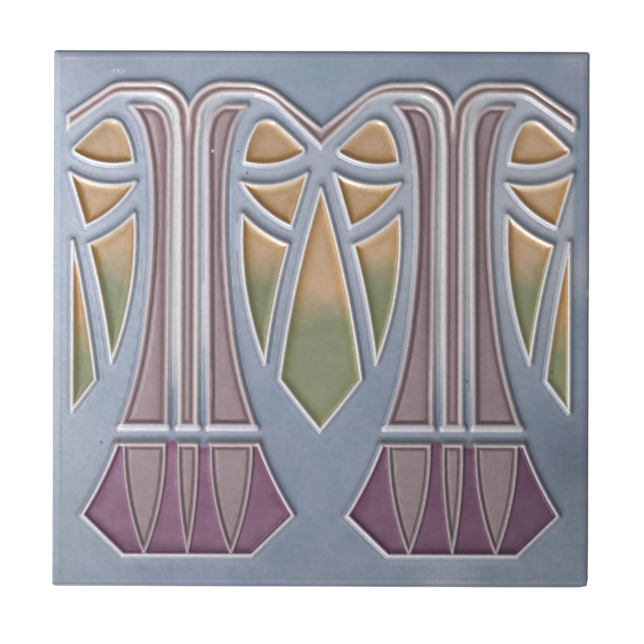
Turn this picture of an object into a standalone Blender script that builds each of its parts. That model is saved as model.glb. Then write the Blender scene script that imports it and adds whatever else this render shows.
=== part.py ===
"""Art nouveau wall tile: one press-moulded earthenware slab with a raised-line plant design.

The tile lies face up. Its origin is the centre of its underside, +Z points out of the glazed
face and +Y points to the top of the design. The design stands twice side by side, and each
half of it is the mirror image of the other about the middle of its own column.
"""

from math import asin, ceil, cos, pi, sin

import bmesh
import bpy
from mathutils import Vector

MM = 0.001

# The slab: a six inch tile, in millimetres as every size below
SIDE = 152.0
GROUND = 9.0
CORNER_RADIUS = 1.0
FACE_RIM_RADIUS = 0.8
FOOT_CHAMFER = 0.4

# The raised lines between the glazes: their section is a ridge with sloping sides, as wide as
# twice the half width given for its top and for the level of the ground
LINE_TOP = GROUND + 1.0
LINE_TOP_HALF = 0.35
LINE_GROUND_HALF = 0.95
PETAL_LINE_TOP = GROUND + 0.7
PETAL_LINE_TOP_HALF = 0.25
PETAL_LINE_GROUND_HALF = 0.6

# The panels that the lines close in, and the flat plateaus inside the flames and petals
PANEL_FLOOR = GROUND - 0.25
PETAL_FLOOR = GROUND - 0.35
CREST_FLOOR = GROUND + 0.4
FLAME_PLATEAU_TOP = GROUND + 0.45
FLAME_PLATEAU_INSET = 1.65
PETAL_PLATEAU_TOP = GROUND + 0.3
PETAL_PLATEAU_INSET = 1.25
PLATEAU_SLOPE = 0.5
ROOT = 0.5

# A tail is the point that an outline grows past a sharp corner when it is moved outwards
TAIL_REACH = 1.9
TIP_REACH = 8.0
STEP_ANGLE = 9.0 * pi / 180.0
MERGE = 0.02

# The two columns, and the vertical lines that end the design at the margins
COLUMN_OFFSET = 37.5
STRIP_HALF = 2.3
MARGIN_LINE = 71.6
HALF_KITE_LINE = 70.3

# The keying grooves of the back
GROOVE_COUNT = 9
BACK_GROOVE_WIDTH = 7.0
BACK_GROOVE_DEPTH = 1.2
BACK_GROOVE_PITCH = 14.5
BACK_BORDER = 8.0

# Each outline lists its corners anticlockwise as (x, y, bow). The bow is how far the side that
# starts at the corner swells outwards, or sinks inwards where it is negative. The outlines of
# a column's right half are measured from the column's middle line.
TOP_LEAF = [
    (15.8, 44.4, 1.7),
    (31.95, 46.7, 0.65),
    (31.8, 48.7, 0.15),
    (24.6, 55.3, 1.0),
    (19.3, 54.9, 0.7),
]
MIDDLE_LEAF = [
    (15.1, 38.55, 1.5),
    (29.1, 26.2, 0.0),
    (33.55, 41.2, -2.0),
]
LONG_LEAF = [
    (15.35, 29.5, 2.3),
    (21.75, -12.3, -0.6),
    (28.15, 20.95, -0.9),
]
FLAME = [
    (6.0, -30.4, 0.0),
    (18.9, -30.4, -1.0),
    (12.0, 0.0, -0.85),
    (10.35, 40.0, -0.35),
    (12.55, 53.9, -0.4),
    (16.3, 60.2, 0.0),
    (10.6, 60.2, 0.7),
    (6.6, 56.6, 0.25),
    (5.4, 50.0, 0.0),
]
SIDE_PETAL = [
    (6.5, -35.7, 1.6),
    (12.3, -66.7, 1.5),
    (18.15, -35.7, 0.0),
]
MIDDLE_PETAL = [
    (-2.65, -35.7, 0.85),
    (0.0, -66.6, 0.85),
    (2.65, -35.7, 0.0),
]
CALYX = [
    (-20.0, -35.7, -0.6),
    (-29.85, -55.6, 0.0),
    (-18.2, -66.9, 0.0),
    (18.2, -66.9, 0.0),
    (29.85, -55.6, -0.6),
    (20.0, -35.7, 0.0),
]

# These are measured from the middle of the tile
KITE = [
    (-11.5, -17.0, 0.15),
    (0.0, -31.5, 0.15),
    (11.5, -17.0, 1.15),
    (0.0, 37.0, 1.15),
]
HALF_KITE = [
    (63.75, -17.3, 0.0),
    (HALF_KITE_LINE, -26.1, 0.0),
    (HALF_KITE_LINE, 21.8, 0.45),
]

# The crest band, of which these make the right half: the lower line from the valley in the
# middle of the tile to the foot of the column's strip, the loop from there to the margin and
# back to the cleft over the column, and the upper line back to the valley
CREST_LOWER = [
    (0.0, 48.9, 0.0),
    (12.6, 61.05, -0.6),
    (19.5, 63.95, 0.0),
    (27.5, 63.95, -2.3),
    (34.5, 55.5, -0.1),
    (COLUMN_OFFSET - STRIP_HALF, 48.0, 0.0),
    (COLUMN_OFFSET - STRIP_HALF, -30.4, 0.0),
]
STRIP_FOOT = (COLUMN_OFFSET, -30.4, 0.0)
CREST_LOOP = [
    (COLUMN_OFFSET + STRIP_HALF, -30.4, 0.0),
    (COLUMN_OFFSET + STRIP_HALF, 48.0, -0.1),
    (40.5, 55.5, -2.3),
    (47.5, 63.95, 0.0),
    (56.0, 63.85, -0.2),
    (59.5, 62.8, 0.0),
    (MARGIN_LINE, 54.2, 0.0),
    (MARGIN_LINE, 57.3, 0.0),
    (60.0, 65.2, 0.3),
    (55.5, 66.4, 0.0),
    (47.5, 66.4, 2.0),
    (37.95, 59.5, 0.0),
]
CLEFT = (COLUMN_OFFSET, 57.3, 0.0)
CREST_UPPER = [
    (37.05, 59.5, 2.0),
    (27.5, 66.4, 0.0),
    (20.5, 66.3, 0.5),
    (12.8, 63.6, 0.0),
    (0.0, 53.3, 0.0),
]


def arc(start, end, bow):
    """Points from start up to, but not including, end, along an arc that bows to the right."""
    chord = end - start
    length = chord.length
    if abs(bow) < 0.02:
        return [start]
    radius = length * length / (8.0 * abs(bow)) + abs(bow) / 2.0
    sweep = 2.0 * asin(min(1.0, length / (2.0 * radius)))
    count = max(2, ceil(sweep / STEP_ANGLE))
    along = chord / length
    outward = Vector((along.y, -along.x)) * (1.0 if bow > 0.0 else -1.0)
    centre = (start + end) / 2.0 + outward * (abs(bow) - radius)
    points = []
    for k in range(count):
        turn = -sweep / 2.0 + sweep * k / count
        points.append(centre + outward * radius * cos(turn) + along * radius * sin(turn))
    return points


def outline(corners, shift=0.0, mirrored=False):
    """The closed outline through the corners, mirrored about x = 0 if asked, and then shifted."""
    points = []
    for (x, y, bow), following in zip(corners, corners[1:] + corners[:1]):
        points += arc(Vector((x, y)), Vector(following[:2]), bow)
    if mirrored:
        points = [Vector((-point.x, point.y)) for point in reversed(points)]
    return [point + Vector((shift, 0.0)) for point in points]


def both_halves(corners):
    """The closed outline whose right half runs through the corners, from x = 0 to x = 0."""
    right = []
    for (x, y, bow), following in zip(corners, corners[1:]):
        right += arc(Vector((x, y)), Vector(following[:2]), bow)
    right.append(Vector(corners[-1][:2]))
    left = [Vector((-point.x, point.y)) for point in reversed(right[1:-1])]
    return right + left


def four_times(corners):
    """The outline on the right half of each column, and its mirror image on the left half."""
    places = [(side * COLUMN_OFFSET, mirrored) for side in (-1, 1) for mirrored in (True, False)]
    return [outline(corners, shift, mirrored) for shift, mirrored in places]


def twice(corners):
    """The outline, itself symmetric, on each column."""
    return [outline(corners, side * COLUMN_OFFSET) for side in (-1, 1)]


def crossing(point, direction, other_point, other_direction):
    """Where two lines cross, or halfway between their points if they are nearly parallel."""
    turn = direction.cross(other_direction)
    if abs(turn) < 0.02:
        return (point + other_point) / 2.0
    return point + direction * ((other_point - point).cross(other_direction) / turn)


def parallel(points, distance, reach):
    """The outline moved out by distance, its corners mitred up to reach times the distance.

    It has as many points as before: where a side shrinks to nothing, its two ends meet.
    """
    count = len(points)
    along = [(points[(k + 1) % count] - points[k]).normalized() for k in range(count)]
    moved = []
    for k, point in enumerate(points):
        before = along[k - 1]
        after = along[k]
        bisector = (Vector((before.y, -before.x)) + Vector((after.y, -after.x))).normalized()
        stretch = min(1.0 / max(bisector.dot(Vector((after.y, -after.x))), 0.05), reach)
        moved.append(point + bisector * distance * stretch)

    groups = [[k] for k in range(count)]
    places = list(moved)
    shrinking = True
    while shrinking:
        shrinking = False
        for g, group in enumerate(groups):
            following = (g + 1) % len(groups)
            side = along[group[-1]]
            if (places[following] - places[g]).dot(side) > 0.0:
                continue
            joined = group + groups[following]
            before = along[joined[0] - 1]
            after = along[joined[-1]]
            place = crossing(places[g], before, places[following], after)
            groups[g] = joined
            places[g] = place
            del groups[following], places[following]
            shrinking = True
            break

    for group, place in zip(groups, places):
        for k in group:
            moved[k] = place.copy()
    return moved


def half_width(z, top_z, top_half, ground_half):
    """Half the width of a raised line at height z, on its straight sloping sides."""
    slope = (ground_half - top_half) / (top_z - GROUND)
    return top_half + (top_z - z) * slope


def drafted(name, points, foot, top, collection):
    """A pad or a cutter with sloping sides: a loft between two outlines parallel to the points.

    The foot and the top are each (z, distance), the distance being outwards from the points.
    """
    rings = []
    mesh = bmesh.new()
    for z, distance in (foot, top):
        ring = parallel(points, distance, TAIL_REACH if distance > 0.0 else TIP_REACH)
        rings.append([mesh.verts.new((point.x * MM, point.y * MM, z * MM)) for point in ring])
    low, high = rings
    mesh.faces.new(low[::-1])
    mesh.faces.new(high)
    for k in range(len(low)):
        following = (k + 1) % len(low)
        mesh.faces.new((low[k], low[following], high[following], high[k]))
    bmesh.ops.remove_doubles(mesh, verts=mesh.verts, dist=MERGE * MM)
    return cutter(name, mesh, collection)


def cutter(name, mesh, collection):
    """A guide object of the bmesh, shown as wire and left out of renders."""
    data = bpy.data.meshes.new(name)
    mesh.to_mesh(data)
    mesh.free()
    guide = bpy.data.objects.new(name, data)
    guide.hide_render = True
    guide.display_type = "WIRE"
    collection.objects.link(guide)
    return guide


def raised_lines(collection, outlines, top_z, top_half, ground_half):
    """A pad for each outline, out to the outer foot of its raised line."""
    for k, points in enumerate(outlines):
        foot_z = GROUND - ROOT
        foot = (foot_z, half_width(foot_z, top_z, top_half, ground_half))
        drafted(f"{collection.name}_{k}", points, foot, (top_z, top_half), collection)


def sunk_panels(collection, outlines, floor_z, top_z, top_half, ground_half):
    """A cutter for each outline, from the panel's floor up past the inside of its raised line."""
    for k, points in enumerate(outlines):
        above_z = top_z + top_half / 2.0
        floor = (floor_z, -half_width(floor_z, top_z, top_half, ground_half))
        above = (above_z, -half_width(above_z, top_z, top_half, ground_half))
        drafted(f"{collection.name}_{k}", points, floor, above, collection)


def plateaus(collection, outlines, floor_z, top_z, inset):
    """A low flat pad inside each outline, with a groove left between it and the raised line."""
    for k, points in enumerate(outlines):
        foot_z = floor_z - ROOT
        foot = (foot_z, -inset + (floor_z - foot_z) * PLATEAU_SLOPE)
        top = (top_z, -inset - (top_z - floor_z) * PLATEAU_SLOPE)
        drafted(f"{collection.name}_{k}", points, foot, top, collection)


def back_grooves(collection):
    """The parallel keying grooves of the back, which stop short of the tile's sides."""
    for k in range(GROOVE_COUNT):
        x = (k - (GROOVE_COUNT - 1) / 2.0) * BACK_GROOVE_PITCH
        mesh = bmesh.new()
        bmesh.ops.create_cube(mesh, size=1.0)
        size = (BACK_GROOVE_WIDTH * MM, (SIDE - 2.0 * BACK_BORDER) * MM, 2.0 * BACK_GROOVE_DEPTH * MM)
        bmesh.ops.scale(mesh, vec=size, verts=mesh.verts)
        bmesh.ops.translate(mesh, vec=(x * MM, 0.0, 0.0), verts=mesh.verts)
        cutter(f"{collection.name}_{k}", mesh, collection)


def slab(name, collection):
    """The plain slab: rounded corners, a rounded rim to the face and a chamfered foot."""
    mesh = bmesh.new()
    bmesh.ops.create_cube(mesh, size=1.0)
    bmesh.ops.scale(mesh, vec=(SIDE * MM, SIDE * MM, GROUND * MM), verts=mesh.verts)
    bmesh.ops.translate(mesh, vec=(0.0, 0.0, GROUND * MM / 2.0), verts=mesh.verts)
    upright = [edge for edge in mesh.edges if abs(edge.verts[0].co.z - edge.verts[1].co.z) > MM]
    bmesh.ops.bevel(mesh, geom=upright, offset=CORNER_RADIUS * MM, segments=3, profile=0.5, affect="EDGES")
    for z, width, segments in ((GROUND * MM, FACE_RIM_RADIUS * MM, 3), (0.0, FOOT_CHAMFER * MM, 1)):
        rim = [edge for edge in mesh.edges if all(abs(vert.co.z - z) < 1e-6 for vert in edge.verts)]
        bmesh.ops.bevel(mesh, geom=rim, offset=width, segments=segments, profile=0.5, affect="EDGES")
    data = bpy.data.meshes.new(name)
    mesh.to_mesh(data)
    mesh.free()
    body = bpy.data.objects.new(name, data)
    collection.objects.link(body)
    return body


def glaze(name, colour, roughness):
    """A plain glossy material of the colour."""
    material = bpy.data.materials.new(name)
    material.use_nodes = True
    shader = material.node_tree.nodes["Principled BSDF"]
    shader.inputs["Base Color"].default_value = (*colour, 1.0)
    shader.inputs["Roughness"].default_value = roughness
    shader.inputs["Metallic"].default_value = 0.0
    return material


def press(body, collection, operation):
    """Join the collection's pads to the body, or cut its cutters out of it."""
    step = body.modifiers.new(collection.name, "BOOLEAN")
    step.operation = operation
    step.solver = "EXACT"
    step.operand_type = "COLLECTION"
    step.collection = collection


def new_collection(name, parent):
    """A named collection inside the parent."""
    collection = bpy.data.collections.new(name)
    parent.children.link(collection)
    return collection


def main():
    """Clear the scene, then press the tile."""
    for thing in list(bpy.data.objects):
        bpy.data.objects.remove(thing, do_unlink=True)
    parts = new_collection("art_nouveau_tile", bpy.context.scene.collection)
    tools = new_collection("tile_tools", bpy.context.scene.collection)

    flames = four_times(FLAME)
    petals = four_times(SIDE_PETAL) + twice(MIDDLE_PETAL)
    cells = [outline(KITE)] + twice(CALYX) + flames
    for leaf in (TOP_LEAF, MIDDLE_LEAF, LONG_LEAF):
        cells += four_times(leaf)
    cells += [outline(HALF_KITE, 0.0, mirrored) for mirrored in (True, False)]
    crest_loop = [STRIP_FOOT] + CREST_LOOP + [CLEFT]
    crest_pads = [outline(crest_loop, 0.0, mirrored) for mirrored in (True, False)]
    crest_pads.append(both_halves(CREST_LOWER + [STRIP_FOOT, CLEFT] + CREST_UPPER))
    crest = both_halves(CREST_LOWER + CREST_LOOP + [CLEFT] + CREST_UPPER)

    lines = (LINE_TOP, LINE_TOP_HALF, LINE_GROUND_HALF)
    petal_lines = (PETAL_LINE_TOP, PETAL_LINE_TOP_HALF, PETAL_LINE_GROUND_HALF)
    body = slab("tile", parts)
    body.data.materials.append(glaze("blue_glaze", (0.30, 0.34, 0.42), 0.3))

    steps = {name: new_collection(name, tools) for name in (
        "cell_lines", "cell_panels", "crest_channel", "petal_lines", "petal_panels",
        "flame_plateaus", "petal_plateaus", "back_grooves",
    )}
    raised_lines(steps["cell_lines"], cells + crest_pads, *lines)
    sunk_panels(steps["cell_panels"], cells, PANEL_FLOOR, *lines)
    sunk_panels(steps["crest_channel"], [crest], CREST_FLOOR, *lines)
    raised_lines(steps["petal_lines"], petals, *petal_lines)
    sunk_panels(steps["petal_panels"], petals, PETAL_FLOOR, *petal_lines)
    plateaus(steps["flame_plateaus"], flames, PANEL_FLOOR, FLAME_PLATEAU_TOP, FLAME_PLATEAU_INSET)
    plateaus(steps["petal_plateaus"], petals, PETAL_FLOOR, PETAL_PLATEAU_TOP, PETAL_PLATEAU_INSET)
    back_grooves(steps["back_grooves"])

    press(body, steps["cell_lines"], "UNION")
    press(body, steps["cell_panels"], "DIFFERENCE")
    press(body, steps["crest_channel"], "DIFFERENCE")
    press(body, steps["petal_lines"], "UNION")
    press(body, steps["petal_panels"], "DIFFERENCE")
    press(body, steps["flame_plateaus"], "UNION")
    press(body, steps["petal_plateaus"], "UNION")
    press(body, steps["back_grooves"], "DIFFERENCE")


main()
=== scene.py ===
# %% [markdown]
# # A glazed relief tile
#
# The object is a six inch wall tile of about 1905. It was pressed from moist clay in a metal
# mould, fired, painted with coloured glazes and fired again. The mould left thin raised lines
# in the clay, and each line is a small dam that keeps one glaze from running into the next.
# The lesson builds it the same way round: first the lines, then the relief, then the glazes.
#
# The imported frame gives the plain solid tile. One new piece, with the soft relief that glaze
# leaves behind, stands in its place.

from math import asin, atan2, cos, pi, radians, sin, sqrt

import bpy
import numpy as np
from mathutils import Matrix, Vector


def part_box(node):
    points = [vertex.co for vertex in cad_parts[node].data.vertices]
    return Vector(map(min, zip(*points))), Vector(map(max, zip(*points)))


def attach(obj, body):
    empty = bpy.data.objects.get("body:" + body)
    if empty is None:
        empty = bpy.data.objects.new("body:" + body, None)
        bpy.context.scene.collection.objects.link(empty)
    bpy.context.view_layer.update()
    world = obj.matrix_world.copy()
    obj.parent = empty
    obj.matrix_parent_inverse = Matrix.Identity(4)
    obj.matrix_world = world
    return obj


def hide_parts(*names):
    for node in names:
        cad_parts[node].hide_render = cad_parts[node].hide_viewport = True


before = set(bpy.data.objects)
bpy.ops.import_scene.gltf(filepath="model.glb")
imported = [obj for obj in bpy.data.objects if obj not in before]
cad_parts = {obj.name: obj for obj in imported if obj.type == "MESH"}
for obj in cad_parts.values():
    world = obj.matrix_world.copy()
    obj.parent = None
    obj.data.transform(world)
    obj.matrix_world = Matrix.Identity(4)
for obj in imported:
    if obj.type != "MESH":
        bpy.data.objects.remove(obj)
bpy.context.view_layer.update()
TILE_LOW, TILE_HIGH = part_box("tile")
MM = 0.001
HALF_SIDE = (TILE_HIGH[0] - TILE_LOW[0]) / 2.0 / MM
HIGHEST = TILE_HIGH[2] / MM
print(f"tile: half a side {HALF_SIDE:.2f} mm, highest point {HIGHEST:.2f} mm")

# %% [markdown]
# ## The design as outlines
#
# The plant design is geometry that a draughtsman could set out with a ruler and compasses:
# straight sides and shallow arcs. So each glaze cell is a short list of corners, and each
# corner carries the bow of the side that starts there, in millimetres. A bow is easy to
# measure and to change, where a centre and a radius are not. The corners run anticlockwise,
# and a positive bow swells outwards.
#
# The design stands twice on the tile, once on each column, and each column is its own mirror
# image. Only the right half of a column is listed, measured from the column's middle line.

# %% Cells of one half of a column, and cells in the middle of the tile
COLUMN = 37.5
TOP_LEAF = [(15.8, 44.4, 1.7), (31.95, 46.7, 0.65), (31.8, 48.7, 0.15), (24.6, 55.3, 1.0), (19.3, 54.9, 0.7)]
MIDDLE_LEAF = [(15.1, 38.55, 1.5), (29.1, 26.2, 0.0), (33.55, 41.2, -2.0)]
LONG_LEAF = [(15.35, 29.5, 2.3), (21.75, -12.3, -0.6), (28.15, 20.95, -0.9)]
FLAME = [
    (6.0, -30.4, 0.0), (18.9, -30.4, -1.0), (12.0, 0.0, -0.85), (10.35, 40.0, -0.35),
    (12.55, 53.9, -0.4), (16.3, 60.2, 0.0), (10.6, 60.2, 0.7), (6.6, 56.6, 0.25), (5.4, 50.0, 0.0),
]
SIDE_PETAL = [(6.5, -35.7, 1.6), (12.3, -66.7, 1.5), (18.15, -35.7, 0.0)]
MIDDLE_PETAL = [(-2.65, -35.7, 0.85), (0.0, -66.6, 0.85), (2.65, -35.7, 0.0)]
CALYX = [
    (-20.0, -35.7, -0.6), (-29.85, -55.6, 0.0), (-18.2, -66.9, 0.0), (18.2, -66.9, 0.0),
    (29.85, -55.6, -0.6), (20.0, -35.7, 0.0),
]
KITE = [(-11.5, -17.0, 0.15), (0.0, -31.5, 0.15), (11.5, -17.0, 1.15), (0.0, 37.0, 1.15)]
HALF_KITE = [(63.75, -17.3, 0.0), (70.3, -26.1, 0.0), (70.3, 21.8, 0.45)]

# %% [markdown]
# ## The crest band
#
# One band runs over the top of both columns. It comes up each column as a straight strip,
# splits at a cleft and bends away to both sides, and the two inner arms meet in a valley in
# the middle of the tile. Its right half is listed in two runs of corners: the underside, from
# the valley down round the strip's foot and out to the margin, and the upper edge, from the
# margin back over the cleft to the valley. The mirror image closes it.

# %% Corners of the crest band's right half
STRIP_HALF = 2.3
FOOT = -30.4
CLEFT = 57.3
MARGIN = 71.6
CREST_UNDER = [
    (0.0, 48.9, 0.0), (12.6, 61.05, -0.6), (19.5, 63.95, 0.0), (27.5, 63.95, -2.3),
    (34.5, 55.5, -0.1), (COLUMN - STRIP_HALF, 48.0, 0.0), (COLUMN - STRIP_HALF, FOOT, 0.0),
    (COLUMN + STRIP_HALF, FOOT, 0.0), (COLUMN + STRIP_HALF, 48.0, -0.1), (40.5, 55.5, -2.3),
    (47.5, 63.95, 0.0), (56.0, 63.85, -0.2), (59.5, 62.8, 0.0), (MARGIN, 54.2, 0.0),
]
CREST_OVER = [
    (MARGIN, 57.3, 0.0), (60.0, 65.2, 0.3), (55.5, 66.4, 0.0), (47.5, 66.4, 2.0),
    (37.95, 59.5, 0.0), (COLUMN, CLEFT, 0.0), (37.05, 59.5, 2.0), (27.5, 66.4, 0.0),
    (20.5, 66.3, 0.5), (12.8, 63.6, 0.0), (0.0, 53.3, 0.0),
]


# %% Sides: a start, an end and a bow
def run_of(corners):
    """The sides between corners in a row: each is its start, its end and its bow."""
    return [((x, y), following[:2], bow) for (x, y, bow), following in zip(corners, corners[1:])]


def ring_of(corners):
    """The sides of a closed outline: the run through the corners and back to the first."""
    return run_of(corners + corners[:1])


def mirrored(sides):
    """The mirror image about x = 0, each side turned end for end so that it stays anticlockwise."""
    return [((-end[0], end[1]), (-start[0], start[1]), bow) for start, end, bow in reversed(sides)]


def moved(sides, shift):
    """The sides moved along x by the shift."""
    return [((start[0] + shift, start[1]), (end[0] + shift, end[1]), bow) for start, end, bow in sides]


def on_each_half(sides):
    """The sides four times: on the right half of each column, and mirrored on its left half."""
    both = mirrored(sides) + sides
    return moved(both, -COLUMN) + moved(both, COLUMN)


def on_each_column(sides):
    """The sides twice: on each column."""
    return moved(sides, -COLUMN) + moved(sides, COLUMN)


def bars(start, end, middle, level):
    """Level sides on both columns: one from start to end on each half, and one across the middle."""
    outer = on_each_half([((start, level), (end, level), 0.0)])
    return outer + on_each_column([((-middle, level), (middle, level), 0.0)])


# %% All the outlines of the tile
flames = on_each_half(ring_of(FLAME))
petals = on_each_half(ring_of(SIDE_PETAL)) + on_each_column(ring_of(MIDDLE_PETAL))
calyxes = on_each_column(ring_of(CALYX))
calyx_walls = on_each_column(run_of(CALYX))
leaves = on_each_half(ring_of(TOP_LEAF) + ring_of(MIDDLE_LEAF) + ring_of(LONG_LEAF))
leaves += ring_of(KITE) + ring_of(HALF_KITE) + mirrored(ring_of(HALF_KITE))
crest_half = run_of(CREST_UNDER + CREST_OVER)
crest = crest_half + mirrored(crest_half)
crest_underside = run_of(CREST_UNDER) + mirrored(run_of(CREST_UNDER))
below_crest = run_of(CREST_UNDER + [(MARGIN, -50.0, 0.0), (0.0, -50.0, 0.0)])
below_crest += mirrored(below_crest)
BAR = FOOT - 0.5
PETAL_LEVEL = -35.7
foot_bars = bars(5.8, 19.3, 2.9, BAR)
petal_tops = bars(6.5, 20.0, 2.65, PETAL_LEVEL)
print(f"sides: {len(leaves)} of leaves, {len(flames)} of flames, {len(petals)} of petals")

# %% [markdown]
# ## From outlines to distances
#
# Everything that clay and glaze do here depends on how far a spot is from the nearest raised
# line. So the next cells lay a fine grid over the flat part of the face and work out, for every
# point of it at once, the distance to the nearest side, with a plus sign inside a cell and a
# minus sign outside. Cutting the lines with Booleans would give hard facets. A distance gives
# the soft section of a real raised line, and later tells the glaze where it runs thin.
#
# The rounded rim and the sides are left out of the grid. They are added as rows of their own.

# %% The grid over the face
RIM = 0.8
CORNER_RADIUS = 1.0
FACE_HALF = HALF_SIDE - RIM
STEPS = 768
GRID = np.linspace(-FACE_HALF, FACE_HALF, STEPS + 1)
CELL = GRID[1] - GRID[0]
X = GRID[None, :]
Y = GRID[:, None]
FLAT = np.zeros((STEPS + 1, STEPS + 1))
REACH = 4.0
ARC_STEP = radians(3.0)
print(f"grid of {STEPS + 1} by {STEPS + 1} points, {CELL:.3f} mm apart")


# %% The circle of a bowed side
def circle_of(side):
    """Centre, radius, half the sweep, outward direction and chord direction of a bowed side.

    A chord c with a bow b belongs to a circle of radius c² / 8b + b / 2, and half of its sweep
    is the angle whose sine is c / 2r.
    """
    start, end, bow = np.array(side[0]), np.array(side[1]), side[2]
    chord = np.hypot(*(end - start))
    along = (end - start) / chord
    outward = np.array([along[1], -along[0]]) * np.sign(bow)
    radius = chord ** 2 / (8.0 * abs(bow)) + abs(bow) / 2.0
    centre = (start + end) / 2.0 + outward * (abs(bow) - radius)
    return centre, radius, asin(min(1.0, chord / (2.0 * radius))), outward, along


def points_along(side):
    """Points of a side, both ends included: centre + r (outward cos t + along sin t)."""
    if side[2] == 0.0:
        return np.array([side[0], side[1]])
    centre, radius, half_sweep, outward, along = circle_of(side)
    turns = np.linspace(-half_sweep, half_sweep, int(2.0 * half_sweep / ARC_STEP) + 3)[:, None]
    return centre + radius * (outward * np.cos(turns) + along * np.sin(turns))


# %% Distance from one side, from many, and inside or outside
def side_distance(x, y, side):
    """Distance of the points (x, y) from a side.

    Beside a straight side it is the distance across its line. Within the wedge of an arc it is
    the difference between the distance from the centre and the radius. Elsewhere it is the
    distance from the nearer end.
    """
    start, end, bow = side
    to_ends = np.minimum(np.hypot(x - start[0], y - start[1]), np.hypot(x - end[0], y - end[1]))
    if bow == 0.0:
        length = np.hypot(end[0] - start[0], end[1] - start[1])
        along = ((end[0] - start[0]) / length, (end[1] - start[1]) / length)
        forward = (x - start[0]) * along[0] + (y - start[1]) * along[1]
        across = np.abs((x - start[0]) * along[1] - (y - start[1]) * along[0])
        return np.where((forward > 0.0) & (forward < length), across, to_ends)
    centre, radius, half_sweep, outward, along = circle_of(side)
    east, north = x - centre[0], y - centre[1]
    turn = np.arctan2(east * along[0] + north * along[1], east * outward[0] + north * outward[1])
    return np.where(np.abs(turn) < half_sweep, np.abs(np.hypot(east, north) - radius), to_ends)


def line_distance(sides):
    """Distance of every grid point from the nearest of the sides, up to REACH.

    Each side only touches the window of the grid that lies within REACH of it.
    """
    nearest = FLAT + REACH
    for side in sides:
        points = points_along(side)
        low = np.searchsorted(GRID, points.min(axis=0) - REACH)
        high = np.searchsorted(GRID, points.max(axis=0) + REACH)
        window = (slice(low[1], high[1]), slice(low[0], high[0]))
        found = side_distance(X[:, window[1]], Y[window[0]], side)
        nearest[window] = np.minimum(nearest[window], found)
    return nearest


def cell_distance(sides):
    """Distance from closed outlines, positive inside and negative outside.

    A point is inside when a level line drawn to it from the left crosses an odd number of sides.
    """
    odd = FLAT > 0.0
    for side in sides:
        points = points_along(side)
        for (x1, y1), (x2, y2) in zip(points, points[1:]):
            low, high = sorted(np.searchsorted(GRID, (y1, y2)))
            if low < high:
                crossing = x1 + (GRID[low:high] - y1) * ((x2 - x1) / (y2 - y1))
                odd[low:high] ^= GRID > crossing[:, None]
    return np.where(odd, 1.0, -1.0) * line_distance(sides)


# %% The distances
leaf = cell_distance(leaves)
flame = cell_distance(flames)
petal = cell_distance(petals)
calyx = cell_distance(calyxes)
calyx_wall = line_distance(calyx_walls)
band = cell_distance(crest)
underside = line_distance(crest_underside)
foot_bar = line_distance(foot_bars)
petal_top = line_distance(petal_tops)
to_line = np.minimum.reduce([abs(leaf), abs(flame), abs(petal), abs(band), calyx_wall, foot_bar, petal_top])
for name, field in (("leaf", leaf), ("flame", flame), ("petal", petal), ("calyx", calyx), ("crest", band)):
    print(f"{name}: {np.mean(field > 0.0) * (2.0 * FACE_HALF) ** 2 / 100.0:.1f} square cm")

# %% [markdown]
# ## The cleft
#
# Above each strip the two upper edges of the crest meet and run on down its middle as one
# raised line, which fades out. The outline alone would end it sharply. So the strip gets two
# distances, one that counts the middle line and one that doesn't, and the relief and the
# colours blend from the first to the second on the way down.

# %% The line that fades out below the cleft
FADE_TOP = 56.0
FADE_LENGTH = 6.0


def smooth(t):
    """A soft step: 0 below 0, 1 above 1, and 3t² - 2t³ between them."""
    t = np.clip(t, 0.0, 1.0)
    return t * t * (3.0 - 2.0 * t)


from_column = np.abs(np.abs(X) - COLUMN) + FLAT
in_strip = (band > 0.0) & (Y < CLEFT)
strip = np.where(in_strip, underside, band)
band = np.where(in_strip, np.minimum(band, from_column), band)
cleft = smooth((Y - FADE_TOP) / FADE_LENGTH + 1.0) + FLAT
crest_line = strip + (band - strip) * cleft
print(f"cleft line fades out between y {FADE_TOP:.1f} and {FADE_TOP - FADE_LENGTH:.1f} mm")

# %% [markdown]
# ## The relief
#
# Fired glaze softens everything: a raised line is a rounded ridge, a panel is a shallow dish,
# and where a wall meets a floor the melted glaze has pooled into a hollow. A ridge is worked
# out as a power of a cosine of the distance, and a change of level as a soft step, so the
# highlights run along the slopes as they do on the tile.
#
# Heights are millimetres above the underside, and a line's width is measured to one side of
# its middle. A ridge only ever lifts what is below its top, so lines that meet melt into each
# other. A section says how a hollow goes on from its line inwards: the width of the wall, then
# where the slope up to the plateau starts, and how wide that slope is.

# %% Levels of the relief, widths of its lines and sections of its hollows
GROUND = 9.0
LINE_TOP = HIGHEST - 0.01
PETAL_TOP = GROUND + 0.72
LEAF_FLOOR = GROUND + 0.1
CALYX_DROP = 0.12
FLAME_GROOVE = GROUND + 0.2
FLAME_PLATEAU = GROUND + 0.42
FLAME_TILT = 0.1
PETAL_GROOVE = GROUND - 0.1
PETAL_PLATEAU = GROUND + 0.3
BAND_GROOVE = GROUND + 0.4
STRIP_PLATEAU = GROUND + 0.6
SHOULDER = 0.4
SHOULDER_WIDTH = 4.2
SHOULDER_SLOPE = 1.6
SHOULDER_RISE = 30.0
SHOULDER_END = 15.0
LEAF_LINE = 1.2
FLAME_LINE = 1.25
CREST_LINE = 1.45
BAR_LINE = 1.6
PETAL_LINE = 0.78
FLAME_SECTION = (1.05, 1.35, 1.2)
CREST_SECTION = (1.05, 1.3, 0.7)
PETAL_SECTION = (0.75, 0.95, 0.7)


def ridge(distance, width, power=2.0):
    """The cosine of a quarter turn per width of distance, to a power: 1 on the line, 0 past the width."""
    return np.cos(np.clip(np.abs(distance) / width, 0.0, 1.0) * pi / 2.0) ** power


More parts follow.
